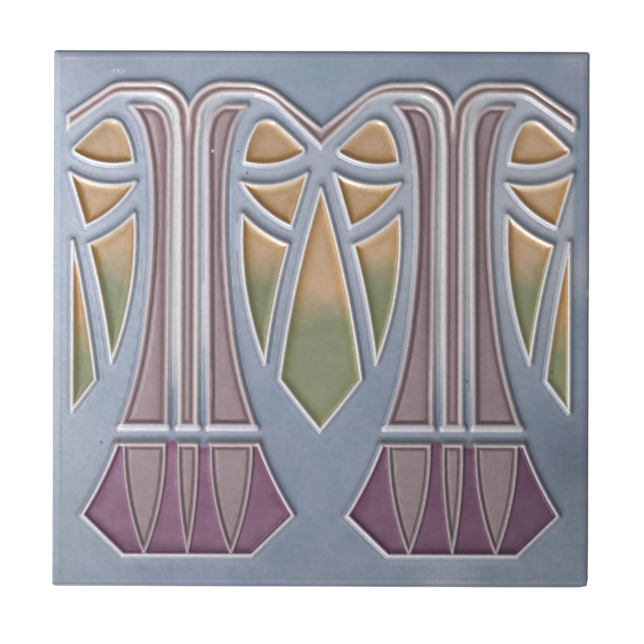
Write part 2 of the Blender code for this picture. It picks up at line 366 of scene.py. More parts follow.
def bell(distance, middle, width):
    """A bell curve of the distance, e to the power -((distance - middle) / width)²: 1 at the middle."""
    return np.exp(-((distance - middle) / width) ** 2)


def lifted(height, top, share):
    """The height raised towards the top by a share of what is missing, and never lowered."""
    return height + np.maximum(top - height, 0.0) * share


def groove_and_plateau(distance, top, groove, plateau, wall, start, rise):
    """From the line inwards: a soft step down to the groove over wall, and up again after start."""
    down = (top - groove) * (1.0 - smooth((distance - 0.12) / wall))
    return groove + down + (plateau - groove) * smooth((distance - start) / rise)


def swell(x, y, pitch, seed, waves=7):
    """Gentle unevenness between -1 and 1: the mean of sine waves of random direction and phase."""
    chance = np.random.default_rng(seed)
    total = 0.0
    for _ in range(waves):
        heading, phase = chance.uniform(0.0, 2.0 * pi, 2)
        rate = 2.0 * pi / (pitch * chance.uniform(0.7, 1.5))
        total = total + np.sin(rate * (x * cos(heading) + y * sin(heading)) + phase)
    return total / waves


# %% Ground, shoulders beside the strips, and leaves
height = GROUND + 0.035 * swell(X, Y, 34.0, 11) + 0.012 * swell(X, Y, 9.0, 12)
shoulder = smooth((SHOULDER_WIDTH - underside) / SHOULDER_SLOPE) * smooth((SHOULDER_END - from_column) / 7.0)
shoulder = shoulder * smooth((Y - FOOT) / SHOULDER_RISE) * (band < 0.0) * (flame < 0.0)
height = height + SHOULDER * shoulder
height = height - CALYX_DROP * smooth((calyx + 0.3) / 1.3)
dish = LEAF_FLOOR + (LINE_TOP - LEAF_FLOOR) * (0.65 * ridge(leaf, 1.0) + 0.35 * ridge(leaf, 2.3))
height = np.where(leaf > 0.0, dish, lifted(height, LINE_TOP, ridge(leaf, LEAF_LINE)))
print(f"leaf floor {LEAF_FLOOR:.2f} mm, lines {LINE_TOP:.2f} mm")

# %% Flames and the crest
hollow = groove_and_plateau(flame, LINE_TOP, FLAME_GROOVE, FLAME_PLATEAU, *FLAME_SECTION)
hollow = hollow - FLAME_TILT * smooth((flame - 1.3) / 1.0) * smooth((10.5 - from_column) / 3.5)
height = np.where(flame > 0.0, hollow, lifted(height, LINE_TOP, ridge(flame, FLAME_LINE)))
hollow = 0.0
for distance, share in ((band, cleft), (strip, 1.0 - cleft)):
    hollow += groove_and_plateau(distance, LINE_TOP, BAND_GROOVE, STRIP_PLATEAU, *CREST_SECTION) * share
height = np.where(band > 0.0, hollow, lifted(height, LINE_TOP, ridge(band, CREST_LINE)))
height = lifted(height, LINE_TOP, ridge(foot_bar, BAR_LINE))
print(f"flame groove {FLAME_GROOVE:.2f} mm, flame plateau {FLAME_PLATEAU:.2f} mm")

# %% [markdown]
# ## Calyx and petals
#
# The calyx has a raised line on every side but the top one. There the top lines of the petals
# close it: the outer ones reach its corners, and between them the plum glaze could run out
# into the blue. A petal's line is finer than the others and doesn't stand quite as high.

# %% Calyx walls, then petals inside them
height = lifted(height, LINE_TOP, ridge(calyx_wall, LEAF_LINE))
petal_line = np.minimum(np.abs(petal), petal_top)
height = lifted(height, PETAL_TOP, ridge(petal_line, PETAL_LINE) * (petal <= 0.0))
hollow = groove_and_plateau(petal, PETAL_TOP, PETAL_GROOVE, PETAL_PLATEAU, *PETAL_SECTION)
height = np.where(petal > 0.0, np.maximum(hollow, lifted(hollow, LINE_TOP, ridge(calyx_wall, 1.0))), height)
print(f"petal groove {PETAL_GROOVE:.2f} mm, petal plateau {PETAL_PLATEAU:.2f} mm")

# %% [markdown]
# ## The glaze's own shape
#
# Outside each line the glaze pulls back into a fine hollow and then stands in a low roll. At
# the tile's edge it thins out over the last few millimetres. One chip and the falling edge are
# part of the relief too, because a dent that is only painted goes flat in raking light.

# %% Hollow and roll beside the lines, the falling edge and the chip
CHIP = (-31.0, 47.3)
CHIP_RADIUS = 0.45
EDGE_FALL = 0.22
EDGE_WIDTH = 3.0
EDGE_ROLL = 0.07
HOLLOW = 0.05
ROLL = 0.035
CHIP_DEPTH = 0.35
outside = np.where(np.maximum.reduce([leaf, flame, petal, calyx, band]) < 0.0, to_line, 0.0)
height = height - HOLLOW * bell(outside, 1.25, 0.2) + ROLL * bell(outside, 1.75, 0.25)
to_edge = HALF_SIDE - np.maximum(np.abs(X), np.abs(Y))
height = height - EDGE_FALL * np.clip(1.0 - to_edge / EDGE_WIDTH, 0.0, 1.0) ** 2
height = height + EDGE_ROLL * bell(to_edge, 2.1, 0.45)
height = height - CHIP_DEPTH * bell(np.hypot(X - CHIP[0], Y - CHIP[1]), 0.0, CHIP_RADIUS)
height = np.minimum(height, HIGHEST)
print(f"face from {height.min():.2f} to {height.max():.2f} mm high")

# %% [markdown]
# ## Which cells the mesh needs
#
# Every point of the grid would make 1.2 million triangles. Most of them would lie on flat
# ground, so the mesh takes large cells there and small ones on the slopes. A cell is split
# where the relief leaves the flat patch through its four corners. Next to a small cell a large
# one also takes the corner in the middle of its side, so the surface has no cracks: that works
# only while neighbours differ by one size, which the second step makes sure of.

# %% How far the relief bends away from a flat patch
SIZES = (8, 4, 2)
COARSE_LIMIT = 0.02
FINE_LIMIT = 0.048


def bend(size):
    """For each cell of the size, the most by which the relief leaves its corners' bilinear patch."""
    south, north = slice(0, STEPS, size), slice(size, None, size)
    corners = [height[south, south], height[south, north], height[north, south], height[north, north]]
    worst = np.zeros(corners[0].shape)
    for row in range(size + 1):
        for column in range(size + 1):
            v, u = row / size, column / size
            shares = ((1 - v) * (1 - u), (1 - v) * u, v * (1 - u), v * u)
            patch = sum(share * corner for share, corner in zip(shares, corners))
            rows = slice(row, STEPS - size + row + 1, size)
            columns = slice(column, STEPS - size + column + 1, size)
            worst = np.maximum(worst, np.abs(height[rows, columns] - patch))
    return worst


def grown(mask):
    """The mask and every cell that touches it."""
    padded = np.pad(mask, 1)
    wide = padded[:, :-2] | padded[:, 1:-1] | padded[:, 2:]
    return wide[:-2] | wide[1:-1] | wide[2:]


def doubled(mask):
    """The mask on cells of half the size."""
    return mask.repeat(2, axis=0).repeat(2, axis=1)


# %% Split the cells
split_middle = bend(SIZES[1]) > FINE_LIMIT
blocks = STEPS // SIZES[0]
near_split = grown(split_middle).reshape(blocks, 2, blocks, 2).any(axis=(1, 3))
split_large = (bend(SIZES[0]) > COARSE_LIMIT) | near_split
kept = {
    SIZES[0]: ~split_large,
    SIZES[1]: doubled(split_large) & ~split_middle,
    SIZES[2]: doubled(split_middle),
}
for size, mask in kept.items():
    print(f"{mask.sum()} cells of {size * CELL:.2f} mm")

# %% Number the grid points that the cells use
used = FLAT > 0.0
for size, mask in kept.items():
    rows, columns = np.nonzero(mask)
    for down in (0, size):
        for across in (0, size):
            used[rows * size + down, columns * size + across] = True
number = np.cumsum(used).reshape(used.shape) - 1
used_rows, used_columns = np.nonzero(used)
face_points = np.stack([GRID[used_columns], GRID[used_rows], height[used]], axis=1)
print(f"{len(face_points)} points on the face")

# %% [markdown]
# ## Collecting the faces
#
# A face is a row of candidate corners and a mask that says which of them count, so a square
# that has shrunk to a triangle needs no code of its own. A cell of the face with extra corners
# is cut into a fan of triangles from the first of them. A fan from one of its four real corners
# could have slivers in it, because an extra corner lies on the line between two others.

# %% Lists that the pieces of the surface are added to
GLAZE, CLAY = 0, 1
corner_lists = []
count_lists = []
material_lists = []
smooth_lists = []
place_lists = []


def add_faces(corners, material, smoothed, places, counted=None):
    """Keep the counted corners of each face, or all, with a place in the texture for each of them."""
    counted = np.ones(corners.shape, bool) if counted is None else counted
    corner_lists.append(corners[counted])
    count_lists.append(counted.sum(axis=1))
    material_lists.append(np.full(len(corners), material))
    smooth_lists.append(np.full(len(corners), smoothed))
    place_lists.append(places[counted])


FACE_PATCH = 0.745 / (2.0 * HALF_SIDE + 0.4)
FACE_MIDDLE = 0.378


def face_place(points):
    """Where a point of the face lies in the texture, which gives the face three quarters of a side."""
    return FACE_MIDDLE + FACE_PATCH * points[..., :2]


# %% The face, cell size by cell size
def add_cells(down, across, picked):
    """Faces through the picked ones of the grid points round each cell, given by row and column."""
    down, across = down[:, picked], across[:, picked]
    corners = number[down, across]
    add_faces(corners, GLAZE, True, face_place(face_points[corners]))


for size, mask in kept.items():
    rows, columns = np.nonzero(mask)
    half = size // 2
    down = rows[:, None] * size + np.array([0, 0, 0, half, size, size, size, half])
    across = columns[:, None] * size + np.array([0, half, size, size, size, half, 0, 0])
    extra = used[down, across][:, 1::2]
    plain = ~extra.any(axis=1)
    add_cells(down[plain], across[plain], [0, 2, 4, 6])
    ring = (2 * np.argmax(extra[~plain], axis=1)[:, None] + 1 + np.arange(8)) % 8
    down = np.take_along_axis(down[~plain], ring, axis=1)
    across = np.take_along_axis(across[~plain], ring, axis=1)
    for k in (1, 3, 5):
        halved = used[down[:, k + 1], across[:, k + 1]]
        add_cells(down[~halved], across[~halved], [0, k, k + 2])
        add_cells(down[halved], across[halved], [0, k, k + 1])
        add_cells(down[halved], across[halved], [0, k + 1, k + 2])
print(f"{sum(len(counts) for counts in count_lists)} faces on the face")

# %% [markdown]
# ## The rim and the sides
#
# The face ends in a rounded rim, the sides go straight down and a small chamfer runs round the
# foot. All of that is one profile carried round the border of the face. A station is a border
# point and the way that outwards points there. Each corner gets a fan of stations that turn by
# a right angle, so the tile's corners come out round.

# %% Stations round the border
FAN = 5
CORNER_CENTRE = HALF_SIDE - CORNER_RADIUS
border_sides = [
    number[0, used[0]], number[used[:, -1], -1], number[-1, used[-1]][::-1], number[used[:, 0], 0][::-1],
]
station_lists = []
turn_lists = []
side_lists = []
for k, side in enumerate(border_sides):
    normal_turn = (k - 1) * pi / 2.0
    fan_turns = normal_turn + np.arange(1, FAN) * pi / (2.0 * FAN)
    station_lists.append(np.concatenate([side, np.full(FAN - 1, side[-1])]))
    turn_lists.append(np.concatenate([np.full(len(side), normal_turn), fan_turns]))
    side_lists.append(np.full(len(side) + FAN - 1, k))
stations = np.concatenate(station_lists)
turns = np.concatenate(turn_lists)
side_of = np.concatenate(side_lists)
outwards = np.stack([np.cos(turns), np.sin(turns)], axis=1)
anchors = np.clip(face_points[stations, :2], -CORNER_CENTRE, CORNER_CENTRE)
edge_height = face_points[stations, 2]
print(f"{len(stations)} stations round the border")

# %% Rows of the profile, from the rim down to the foot
RIM_ANGLES = np.radians([15.0, 30.0, 45.0, 60.0, 75.0, 90.0])
SIDE_HEIGHTS = (7.0, 5.5, 4.0, 2.5, 1.2)
FOOT_CHAMFER = 0.4
WORN_CORNER = (CORNER_CENTRE, -CORNER_CENTRE)
inset = 0.05 * (1.0 + swell(anchors[:, 0], anchors[:, 1], 26.0, 21))
inset += 0.3 * bell(np.hypot(*(anchors - WORN_CORNER).T), 0.0, 0.9)


def row_at(reach, heights):
    """One ring of points: from each anchor outwards by the reach, less the inset there."""
    radius = CORNER_RADIUS - RIM + reach - inset * (reach / RIM)
    return np.column_stack([anchors + radius[:, None] * outwards, np.broadcast_to(heights, radius.shape)])


rim_rows = [row_at(RIM * sin(a), edge_height - RIM * (1.0 - cos(a))) for a in RIM_ANGLES]
side_rows = [row_at(RIM, level) for level in SIDE_HEIGHTS + (FOOT_CHAMFER,)]
rows_down = rim_rows + side_rows + [row_at(RIM - FOOT_CHAMFER, 0.0)]
ring_start = len(face_points) + len(stations) * np.arange(len(rows_down))
print(f"{len(rows_down)} rows below the face")

# %% Faces between the rows
following = np.roll(np.arange(len(stations)), -1)
step_lengths = np.hypot(*(rim_rows[-1][following, :2] - rim_rows[-1][:, :2]).T)
travelled = np.concatenate([[0.0], np.cumsum(step_lengths)])
side_start = np.array([travelled[np.argmax(side_of == k)] for k in range(4)])


def side_place(high, low):
    """Texture places of a row of faces from high to low: the four sides lie one above the other."""
    first, last = ((ends - side_start[side_of]) / 160.0 for ends in (travelled[:-1], travelled[1:]))
    upper, lower = (0.775 + 0.055 * side_of + 0.05 * level / 10.0 for level in (high, low))
    corners = [(first, upper), (first, lower), (last, lower), (last, upper)]
    return np.stack([np.stack([0.01 + 0.7 * u, v], axis=-1) for u, v in corners], axis=1)


upper, upper_points = stations, face_points[stations]
for k, (start, points) in enumerate(zip(ring_start, rows_down)):
    lower = start + np.arange(len(stations))
    quads = np.stack([upper, lower, lower[following], upper[following]], axis=1)
    counted = np.ones(quads.shape, bool)
    counted[:, 3] = quads[:, 0] != quads[:, 3]
    on_rim = k < len(RIM_ANGLES)
    if on_rim:
        around = [upper_points, points, points[following], upper_points[following]]
        places = face_place(np.stack(around, axis=1))
    else:
        places = side_place(upper_points[0, 2], points[0, 2])
    add_faces(quads, GLAZE if on_rim else CLAY, k < len(rows_down) - 1, places, counted)
    upper, upper_points = lower, points
print(f"{len(stations) * len(rows_down)} faces on the rim and the sides")

# %% [markdown]
# ## The back
#
# The photograph doesn't show the back. Pressed tiles of this age have grooves or bars there,
# which the mortar keys into, so it gets the nine grooves of the solid tile, with the slight
# draft that lets clay leave a mould. A grid whose lines lie close together at the groove walls
# needs few faces.

# %% Grooves as a product of two soft steps
GROOVES = 9
GROOVE_PITCH = 14.5
GROOVE_HALF = 3.5
GROOVE_DEPTH = 1.2
GROOVE_END = 68.0
WALL = 0.7
wall_steps = GROOVE_HALF - WALL * np.array([0.0, 0.25, 0.5, 0.75, 1.0])
groove_centres = (np.arange(GROOVES) - (GROOVES - 1) / 2.0) * GROOVE_PITCH
across_lines = groove_centres[:, None] + np.concatenate([-wall_steps, wall_steps[::-1]])
back_x = np.concatenate([[-66.0], across_lines.ravel(), [66.0]])
end_steps = GROOVE_END - WALL * np.array([-3.0, 0.0, 0.25, 0.5, 0.75, 1.0])
back_y = np.concatenate([-end_steps, np.linspace(-60.0, 60.0, 13), end_steps[::-1]])
to_groove = np.abs(back_x[:, None] - groove_centres).min(axis=1)
depth_across = smooth((GROOVE_HALF - to_groove) / WALL)
depth_along = smooth((GROOVE_END - np.abs(back_y)) / WALL)
unevenness = 1.0 - 0.04 * (1.0 + swell(back_x[None, :], back_y[:, None], 30.0, 31))
back_height = GROOVE_DEPTH * depth_across[None, :] * depth_along[:, None] * unevenness
back_points = np.stack(np.broadcast_arrays(back_x[None, :], back_y[:, None], back_height), axis=-1)
print(f"{back_x.size} by {back_y.size} lines on the back")

# %% Faces of the grooved part, turned to face down
back_start = len(face_points) + len(stations) * len(rows_down)
back_number = back_start + np.arange(back_height.size).reshape(back_height.shape)


def back_place(points):
    """Where a point of the back lies in the texture: in a corner of its own, seen from above."""
    return (0.875, 0.125) + 0.0015 * points[..., :2]


def four_corners(values):
    """The values at the corners of every cell of a grid, in clockwise order."""
    return np.stack([values[:-1, :-1], values[1:, :-1], values[1:, 1:], values[:-1, 1:]], axis=2)


quads = four_corners(back_number).reshape(-1, 4)
places = four_corners(back_place(back_points)).reshape(-1, 4, 2)
add_faces(quads, CLAY, True, places)

# %% [markdown]
# ## Closing the flat border of the back
#
# Between the grooved grid and the chamfered foot lies a flat frame, and the two loops round it
# have different numbers of points. They are zipped together: all points are sorted by their
# direction from the middle, and each step along one loop makes a triangle with the point that
# the other loop has reached.

# %% Zip the two loops
foot_points = rows_down[-1]
inner = np.concatenate([
    back_number[0, :-1], back_number[:-1, -1], back_number[-1, :0:-1], back_number[:0:-1, 0],
])
inner_points = back_points.reshape(-1, 3)[inner - back_start]
outer_start = ring_start[-1]
first_direction = atan2(foot_points[0, 1], foot_points[0, 0])
outer_direction = (np.arctan2(foot_points[:, 1], foot_points[:, 0]) - first_direction) % (2.0 * pi)
inner_direction = (np.arctan2(inner_points[:, 1], inner_points[:, 0]) - first_direction) % (2.0 * pi)
order = np.argsort(inner_direction)
inner = inner[order]
moments = np.concatenate([outer_direction[1:], [2.0 * pi], inner_direction[order]])
is_outer = (np.arange(len(moments)) < len(stations))[np.argsort(moments, kind="stable")]
outer_now = np.cumsum(is_outer) - is_outer
inner_now = np.cumsum(~is_outer) - ~is_outer - 1
outer_next = np.where(is_outer, outer_now + 1, outer_now) % len(stations) + outer_start
outer_now = outer_now % len(stations) + outer_start
inner_next = inner[np.where(is_outer, inner_now, inner_now + 1) % len(inner)]
inner_now = inner[inner_now % len(inner)]
triangles = np.where(
    is_outer[:, None],
    np.stack([outer_next, outer_now, inner_now], axis=1),
    np.stack([inner_now, inner_next, outer_now], axis=1),
)
all_points = np.concatenate([face_points] + rows_down + [back_points.reshape(-1, 3)])
places = back_place(all_points[triangles])
add_faces(triangles, CLAY, False, places)
print(f"{len(triangles)} triangles close the flat border")

# %% [markdown]
# ## Making the mesh
#
# The arrays go into Blender in a few calls. The large cells would shade as flat patches, so
# the mesh also gets the direction of the relief itself, taken from the fine grid, as its
# normals.

# %% Directions of the surface at every point
slope_y, slope_x = np.gradient(height, CELL)
face_normals = np.stack([-slope_x[used], -slope_y[used], np.ones(used.sum())], axis=1)
rim_normals = [np.column_stack([outwards * sin(a), np.full(len(stations), cos(a))]) for a in RIM_ANGLES]
level_normals = np.column_stack([outwards, np.zeros(len(stations))])
back_slope_y, back_slope_x = np.gradient(back_height, back_y, back_x)
back_normals = np.stack([back_slope_x, back_slope_y, -np.ones(back_height.shape)], axis=-1).reshape(-1, 3)
point_normals = np.concatenate(
    [face_normals] + rim_normals + [level_normals] * (len(side_rows) + 1) + [back_normals]
)
point_normals /= np.linalg.norm(point_normals, axis=1, keepdims=True)

# %% The mesh
def add_object(name, data):
    """An object with this data, in the scene."""
    made = bpy.data.objects.new(name, data)
    bpy.context.scene.collection.objects.link(made)
    return made


corners = np.concatenate(corner_lists)
counts = np.concatenate(count_lists)
smoothed = np.concatenate(smooth_lists)
mesh = bpy.data.meshes.new("glazed_tile")
mesh.vertices.add(len(all_points))
mesh.vertices.foreach_set("co", (all_points * MM).ravel())
mesh.loops.add(len(corners))
mesh.loops.foreach_set("vertex_index", corners)
mesh.polygons.add(len(counts))
mesh.polygons.foreach_set("loop_start", np.cumsum(counts) - counts)
mesh.polygons.foreach_set("material_index", np.concatenate(material_lists))
mesh.polygons.foreach_set("use_smooth", smoothed)
mesh.update(calc_edges=True)
texture_map = mesh.uv_layers.new(name="OFBake")
texture_map.uv.foreach_set("vector", np.concatenate(place_lists).ravel())
corner_normals = np.where(smoothed.repeat(counts)[:, None], point_normals[corners], 0.0)
mesh.normals_split_custom_set(corner_normals)
tile = add_object("glazed_tile", mesh)
print(f"{(counts - 2).sum()} triangles, changed by validation: {mesh.validate()}")

# %% [markdown]
# ## What the glaze has to know
#
# The distances go onto the mesh as attributes, in millimetres. A signed distance changes
# evenly across a line, so a shader that reads it can draw a crisp edge in the middle of a mesh
# cell, where a painted yes or no would show the cell's corners.
#
# Some things need a field of their own. The plum has run out a little between the petals, on
# the left of each column more than on the right. Above the petals a brown band is partly pooled
# glaze and partly painted shade. The light comes from the foot of the design, and some fields
# carry painted light and shade: the upper wall of each leaf gets a painted highlight and the
# lower one painted shade, while the blue gets painted shade above a raised line and painted
# light below it. The ground beneath the crest is painted paler. And each kind of leaf turns
# green at its own height.

# %% Where the glaze ran and pooled, and where light and shade are painted
PLUM_RUN = 1.4
PLUM_STOP = -0.5
GAP_START = 2.3
GAP_END = 6.9
between_petals = smooth((from_column - GAP_START) / 1.8) * smooth((GAP_END - from_column) / 1.8)
left_gap = np.sin(pi * X / COLUMN) > 0.0
run = np.where(left_gap, PLUM_RUN, PLUM_STOP)
plum = calyx + run * between_petals * smooth((calyx_wall - 1.0) / 1.5)
# Partly pooled glaze and partly painted shade above the petals' top lines, on the slope that faces away from
# the light.
pool = bell(petal_top, 1.3, 0.6) * (Y > PETAL_LEVEL)
# Painted light on the leaf walls: positive on each upper wall, which faces the light, for a painted
# highlight, and negative on each lower wall, for painted shade.
leaf_wall_lighting = -np.gradient(leaf, CELL, axis=0) * ridge(leaf, 2.2, 1.0)
beside = smooth(to_line / 0.9) * (1.0 - smooth((to_line - 1.5) / 1.6))
# Painted shade above each raised line, whose slope there faces away from the light, and painted light below
# it: positive above, negative below.
halo = np.gradient(to_line, CELL, axis=0) * beside
# The ground beneath the crest, which the shader paints paler, more so towards the right.
canopy = smooth((cell_distance(below_crest) + 0.5) / 1.5) * smooth((Y + 25.0) / 45.0)
turning = [
    (on_each_half(ring_of(TOP_LEAF) + ring_of(MIDDLE_LEAF)), -90.0),
    (on_each_half(ring_of(LONG_LEAF)), 15.5),
    (ring_of(KITE), 4.5),
    (ring_of(HALF_KITE) + mirrored(ring_of(HALF_KITE)), -3.0),
]
nearest = np.argmax([cell_distance(sides) for sides, _ in turning], axis=0)
below_turn = np.array([level for _, level in turning])[nearest] - Y
print(f"plum runs out by {PLUM_RUN} mm in {np.mean(plum > calyx + 1.0) * 100.0:.2f} % of the face")

# %% Attributes, with a prefix because the renderer keeps some plain names for smoke and fire
PREFIX = "tile_"
attributes = {
    "leaf": leaf, "flame": flame, "petal": petal, "plum": plum, "band": band, "strip": strip,
    "crest": crest_line, "cleft": cleft, "wall": calyx_wall, "bar": foot_bar, "top": petal_top,
    "line": to_line, "shoulder": shoulder * np.where(left_gap, 1.0, 0.65), "pool": pool,
    "north": leaf_wall_lighting, "halo": halo, "canopy": canopy, "turn": below_turn, "column": from_column,
}
AWAY = {"wall": REACH, "bar": REACH, "top": REACH, "line": REACH}
AWAY.update({name: 0.0 for name in ("cleft", "shoulder", "pool", "north", "halo", "canopy")})
for name, field in attributes.items():
    on_face = field[used]
    rows_below = np.tile(on_face[stations], len(rows_down))
    values = np.concatenate([on_face, rows_below, np.full(back_height.size, AWAY.get(name, -REACH))])
    attribute = mesh.attributes.new(PREFIX + name, "FLOAT", "POINT")
    attribute.data.foreach_set("value", values)
print(f"attributes: {', '.join(attributes)}")

# %% [markdown]
# ## Tools for the shaders
#
# A glaze is many small decisions, and each is a node. These helpers keep one decision on one
# line: add a node, calculate, make a soft step, blend two colours, and read a colour off a
# scale of millimetres. Colours are written in screen values and turned into the linear ones
# that light is reckoned in.


# %% Node helpers
def add_node(tree, kind, inputs, **settings):
    """A node with its settings, each input set to a value or linked to another node's output."""
    made = tree.nodes.new(kind)
    for name, value in settings.items():
        setattr(made, name, value)
    for key, value in inputs.items():
        if isinstance(value, bpy.types.NodeSocket):
            tree.links.new(value, made.inputs[key])
        else:
            made.inputs[key].default_value = value
    return made


def calc(tree, operation, first, second=0.0):
    """The result of a calculation with one or two values."""
    return add_node(tree, "ShaderNodeMath", {0: first, 1: second}, operation=operation).outputs[0]


def times(tree, first, second):
    """The product of two values."""
    return calc(tree, "MULTIPLY", first, second)


def plus(tree, first, second):
    """The sum of two values."""
    return calc(tree, "ADD", first, second)


def coordinate(tree, where, axis):
    """One coordinate of a place, in metres: 0 is across the tile, 1 along it and 2 upwards."""
    return add_node(tree, "ShaderNodeSeparateXYZ", {0: where}).outputs[axis]


def step(tree, value, low, high):
    """A soft step from 0 at low to 1 at high. With high below low it steps down."""
    inputs = {"Value": value, "From Min": low, "From Max": high}
    return add_node(tree, "ShaderNodeMapRange", inputs, interpolation_type="SMOOTHSTEP").outputs["Result"]


def screen_colour(red, green, blue):
    """Linear colour of screen values from 0 to 255: ((v + 0.055) / 1.055) to the power 2.4."""
    values = [((v / 255.0 + 0.055) / 1.055) ** 2.4 for v in (red, green, blue)]
    return (*values, 1.0)


def blended(tree, share, under, over, mode="MIX"):
    """The under colour with a share of the over colour on it. Either may be given in screen values."""
    under, over = (screen_colour(*given) if isinstance(given, tuple) else given for given in (under, over))
    inputs = {0: share, 6: under, 7: over}
    return add_node(tree, "ShaderNodeMix", inputs, data_type="RGBA", blend_type=mode).outputs[2]


def ramp(tree, value, stops, interpolation="LINEAR"):
    """A colour by the value, through (value from 0 to 1, colour) stops."""
    made = add_node(tree, "ShaderNodeValToRGB", {"Fac": value})
    made.color_ramp.interpolation = interpolation
    for k, (place, colour) in enumerate(stops):
        stop = made.color_ramp.elements[k] if k < 2 else made.color_ramp.elements.new(1.0)
        stop.position = place
        stop.color = colour
    return made.outputs["Color"]


def read_off(tree, distance, scale):
    """A colour read off a scale of (millimetres, colour) stops, which run from 0 to REACH."""
    inputs = {"Value": distance, "From Min": 0.0, "From Max": REACH}
    scaled = add_node(tree, "ShaderNodeMapRange", inputs).outputs["Result"]
    return ramp(tree, scaled, [(place / REACH, screen_colour(*colour)) for place, colour in scale], "EASE")


def vector_calc(tree, operation, first, second, result=0):
    """The result of a calculation with two vectors: a vector, or a value where result is "Value"."""
    return add_node(tree, "ShaderNodeVectorMath", {0: first, 1: second}, operation=operation).outputs[result]


def mottle(tree, where, pitch, detail=3.0, shift=0.0):
    """Soft noise between about 0 and 1 whose patches are about the pitch in millimetres apart."""
    shifted = vector_calc(tree, "ADD", where, (shift, 0.0, 0.0))
    inputs = {"Vector": shifted, "Scale": 1.0 / (pitch * MM), "Detail": detail}
    noise = add_node(tree, "ShaderNodeTexNoise", inputs)
    return step(tree, noise.outputs["Fac"], 0.28, 0.72)


def distance_named(tree, name):
    """An attribute of the mesh."""
    return add_node(tree, "ShaderNodeAttribute", {}, attribute_name=PREFIX + name).outputs["Fac"]


def new_material(name):
    """A material, its node tree, its shader and its object coordinates."""
    material = bpy.data.materials.new(name)
    material.use_nodes = True
    tree = material.node_tree
    where = add_node(tree, "ShaderNodeTexCoord", {}).outputs["Object"]
    return material, tree, tree.nodes["Principled BSDF"], where


def finish(tree, shader, colour, roughness, height, depth):
    """Give a shader its colour, its roughness and a fine relief of the depth in millimetres."""
    bump = add_node(tree, "ShaderNodeBump", {"Height": height, "Distance": depth * MM, "Strength": 1.0})
    for result, name in ((colour, "Base Color"), (roughness, "Roughness"), (bump.outputs[0], "Normal")):
        tree.links.new(result, shader.inputs[name])


# %% [markdown]
# ## The coloured glazes
#
# A transparent glaze is pale where it is thin and deep where it has pooled. So each cell reads
# its colour off a scale of distance from its line: almost white on the line, deepest in the
# hollow beside it and lighter again towards the middle. The blue of the ground does the same
# outside the lines, and the fields above make it deeper or paler, partly with painted light and
# shade. Then come the things that no distance explains: cloudy patches of violet and green in the
# blue, fine mottling, painted light and shade across the tile and along the rim, a few specks, a
# chip and two scuffs.

# %% Scales of colour, by millimetres from the line
GROUND_SCALE = [
    (0.0, (184, 188, 200)), (0.6, (160, 166, 181)), (1.25, (124, 134, 153)),
    (1.6, (131, 142, 160)), (2.5, (143, 155, 173)),
]
OCHRE_SCALE = [
    (0.0, (214, 196, 172)), (0.6, (182, 140, 92)), (1.2, (174, 131, 82)),
    (2.3, (188, 154, 117)), (4.0, (195, 166, 138)),
]
GREEN_SCALE = [
    (0.0, (204, 206, 190)), (0.6, (152, 152, 120)), (1.2, (124, 126, 92)),
    (2.3, (130, 136, 103)), (4.0, (137, 144, 119)),
]
FLAME_SCALE = [
    (0.0, (182, 168, 172)), (0.6, (170, 154, 158)), (1.2, (106, 86, 92)),
    (1.5, (126, 105, 112)), (2.3, (158, 139, 145)),
]
BAND_SCALE = [
    (0.0, (206, 192, 192)), (0.6, (184, 166, 168)), (1.15, (126, 107, 109)),
    (1.5, (128, 108, 112)), (2.3, (164, 144, 154)),
]
PETAL_SCALE = [
    (0.0, (196, 176, 184)), (0.45, (174, 156, 161)), (0.85, (118, 102, 104)),
    (1.1, (132, 115, 119)), (1.7, (163, 145, 151)),
]
PLUM_SCALE = [
    (0.0, (150, 112, 138)), (0.8, (124, 88, 114)), (1.6, (126, 90, 117)),
    (2.8, (132, 96, 122)), (4.0, (140, 104, 130)),
]
LINE_WHITE = (214, 211, 211)
LINE_PINK = (182, 169, 173)
WALL_WHITE = (214, 206, 214)
TOP_CREAM = (205, 191, 188)
BAND_PINK = (201, 192, 193)
BAR_WHITE = (202, 200, 209)
# Painted highlight and painted shade for the leaf walls.
OCHRE_HIGHLIGHT = (222, 204, 180)
OCHRE_SHADE = (170, 126, 76)
# Painted shade and painted light beside the lines; the same colours also tint the thick and thin coats at
# the edge.
HALO_DEEP = (98, 108, 128)
HALO_PALE = (180, 183, 198)
CANOPY_PALE = (196, 198, 206)
# Painted shade on the rim.
RIM_SHADE_COLOUR = (84, 92, 104)
# Painted light along the left margin, on the side the light comes from.
LEFT_MARGIN_LIGHT = (176, 177, 184)
# Pooled glaze and painted shade above the petals.
POOL_AND_SHADE_DARK = (110, 110, 106)
PLUM_PALE = (164, 130, 156)
# Painted shade for the plum on the right of the tile.
PLUM_SHADE = (84, 52, 78)
FLAME_DEEP = (122, 99, 107)
GREEN_CLOUD = (134, 153, 170)
VIOLET_CLOUD = (156, 160, 182)
SHOULDER_PALE = (192, 193, 193)

# %% Marks of age, as places on the face in millimetres, and painted light and shade
SPECKS = [
    (-23.6, 47.3, 0.35), (-62.0, -35.2, 0.45), (65.4, -14.8, 0.4), (41.4, -17.6, 0.4), (-21.0, 41.3, 0.35),
]
SPECK_COLOUR = (92, 96, 108)
CHIP_COLOUR = (225, 220, 210)
SCUFFS = [(-57.4, 69.9, 2.6, 0.7), (75.4, 8.2, 0.7, 1.6)]
# Painted light and shade: colour lighter towards the upper left and darker towards the lower right, and on
# the leaves a gradient the other way.
PAINTED_LIGHT_WAY = (-1.2, 2.4, 0.0)
LEAF_PAINTED_LIGHT_WAY = (2.9, -3.9, 0.0)
COAT = 0.91
LEAF_COAT = 0.05
# Painted shade on the top, right and bottom rims: where it starts, where it is full, and its share.
RIM_SHADE = (74.5 * MM, 75.7 * MM, 0.6)


